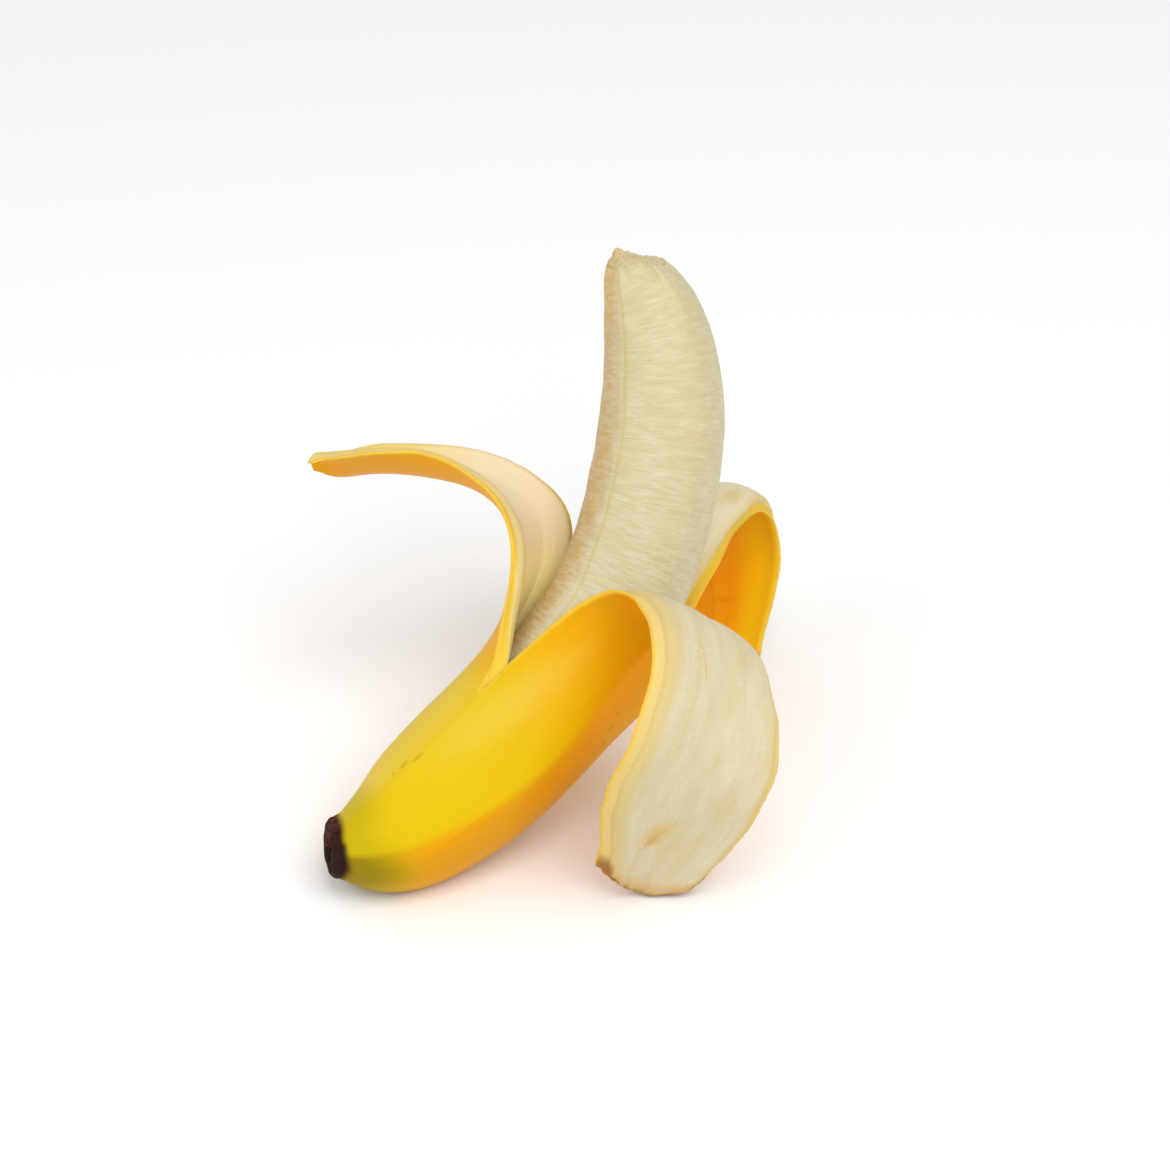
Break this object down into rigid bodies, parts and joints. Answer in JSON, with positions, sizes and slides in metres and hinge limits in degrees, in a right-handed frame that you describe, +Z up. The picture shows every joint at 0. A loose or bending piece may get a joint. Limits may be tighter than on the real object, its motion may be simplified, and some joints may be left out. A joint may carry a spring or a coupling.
{
  "type": "peeled banana",
  "caption": "Ripe banana, partly peeled and standing by itself: bare curved flesh rises out of its skin, and the torn strips of skin fold outwards round it.",
  "frame": {"origin": "on the ground, under the middle of the banana's bounding box", "axes": "+Z up; seen from the front, which looks along +Y, +X is to the right and the dark blossom end points to -X"},
  "size_m": [0.1292, 0.1326, 0.1343],
  "materials": {
    "skin": "waxy, smooth yellow skin outside, matt cream and fibrous inside",
    "flesh": "matt, moist cream flesh with fine cross lines"
  },
  "bodies": {
    "root": {"peel": "skin", "flesh": "flesh"}
  },
  "joints": []
}
